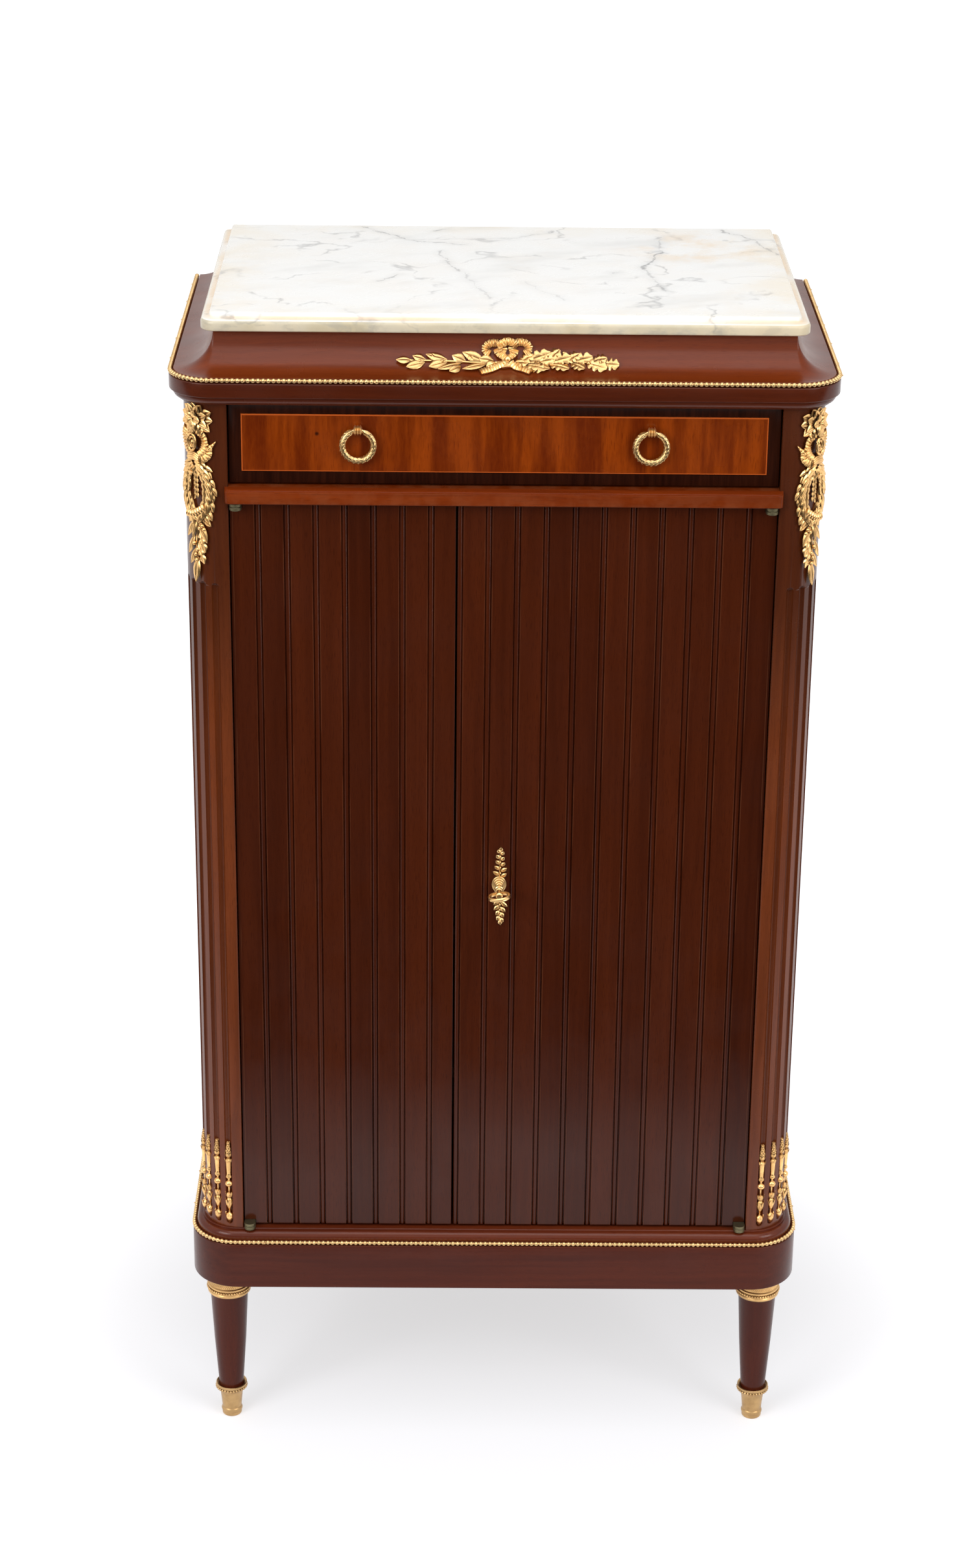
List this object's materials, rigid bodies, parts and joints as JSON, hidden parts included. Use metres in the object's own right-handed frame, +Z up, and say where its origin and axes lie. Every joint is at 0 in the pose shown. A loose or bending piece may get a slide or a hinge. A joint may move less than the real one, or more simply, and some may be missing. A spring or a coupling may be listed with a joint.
{
  "type": "music cabinet",
  "caption": "Upright music cabinet with reeded hinged doors over inner shelves, a drawer with ring pulls, fluted corner posts, coved marble top and turned legs.",
  "frame": {"origin": "centre of the bounding box at floor level", "axes": "+Z up, the front with the doors towards -Y, +X to the right of someone facing the front"},
  "size_m": [0.6634, 0.431, 1.265],
  "materials": {
    "mahogany": "french polish",
    "dark_mahogany": "french polish",
    "figured_mahogany": "french polish",
    "plain_wood": "bare",
    "gilt_bronze": "gilt, satin",
    "brass": "dull",
    "steel": "plain",
    "marble": "polished"
  },
  "bodies": {
    "carcass": {"marble_top": "marble", "cove_frieze": "mahogany", "cornice": "mahogany", "cornice_bead": "gilt_bronze", "left_front_post": "mahogany", "right_front_post": "mahogany", "left_rear_stile": "mahogany", "right_rear_stile": "mahogany", "left_side_panel": "mahogany", "right_side_panel": "mahogany", "back_panel": "plain_wood", "drawer_rail": "mahogany", "dust_board": "plain_wood", "left_drawer_guide": "plain_wood", "right_drawer_guide": "plain_wood", "base_board": "mahogany", "plinth": "mahogany", "plinth_bead": "gilt_bronze", "left_corner_mount": "gilt_bronze", "right_corner_mount": "gilt_bronze", "frieze_mount": "gilt_bronze", "shelf_1": "mahogany", "shelf_2": "mahogany", "shelf_3": "mahogany", "shelf_4": "mahogany", "upper_left_pivot": "brass", "lower_left_pivot": "brass", "upper_right_pivot": "brass", "lower_right_pivot": "brass", "front_left_leg": "mahogany", "front_left_collar": "gilt_bronze", "front_left_sabot": "gilt_bronze", "front_right_leg": "mahogany", "front_right_collar": "gilt_bronze", "front_right_sabot": "gilt_bronze", "rear_left_leg": "mahogany", "rear_left_collar": "gilt_bronze", "rear_left_sabot": "gilt_bronze", "rear_right_leg": "mahogany", "rear_right_collar": "gilt_bronze", "rear_right_sabot": "gilt_bronze"},
    "drawer_box": {"drawer_front": "figured_mahogany", "drawer_left_side": "plain_wood", "drawer_right_side": "plain_wood", "drawer_back": "plain_wood", "drawer_bottom": "plain_wood", "left_ring_boss": "gilt_bronze", "right_ring_boss": "gilt_bronze"},
    "left_pull": {"left_ring": "gilt_bronze"},
    "right_pull": {"right_ring": "gilt_bronze"},
    "narrow_door": {"left_door": "dark_mahogany", "upper_left_door_leaf": "brass", "lower_left_door_leaf": "brass"},
    "wide_door": {"right_door": "dark_mahogany", "upper_right_door_leaf": "brass", "lower_right_door_leaf": "brass", "lock_case": "steel", "escutcheon": "gilt_bronze"},
    "door_key": {"key": "gilt_bronze"},
    "door_bolt": {"lock_bolt": "steel"}
  },
  "joints": [
    {"name": "drawer_slide", "type": "slide", "parent": "carcass", "child": "drawer_box", "axis": [0, -1, 0], "range_m": [0, 0.26]},
    {"name": "left_ring_swing", "type": "hinge", "parent": "drawer_box", "child": "left_pull", "pos_m": [-0.144, -0.176, 1.1557], "axis": [-1, 0, 0], "range_deg": [0, 90]},
    {"name": "right_ring_swing", "type": "hinge", "parent": "drawer_box", "child": "right_pull", "pos_m": [0.144, -0.176, 1.1557], "axis": [-1, 0, 0], "range_deg": [0, 90]},
    {"name": "narrow_door_swing", "type": "hinge", "parent": "carcass", "child": "narrow_door", "pos_m": [-0.2655, -0.1757, 0.256], "axis": [0, 0, -1], "range_deg": [0, 110]},
    {"name": "wide_door_swing", "type": "hinge", "parent": "carcass", "child": "wide_door", "pos_m": [0.2655, -0.1757, 0.256], "axis": [0, 0, 1], "range_deg": [0, 110]},
    {"name": "key_turn", "type": "hinge", "parent": "wide_door", "child": "door_key", "pos_m": [0, -0.1692, 0.6635], "axis": [0, 1, 0], "range_deg": [0, 180]},
    {"name": "bolt_throw", "type": "slide", "parent": "wide_door", "child": "door_bolt", "axis": [-1, 0, 0], "range_m": [0, 0.009]}
  ],
  "couplings": [
    {"joint": "key_turn", "follows": "bolt_throw", "rad_per_m": 349}
  ]
}
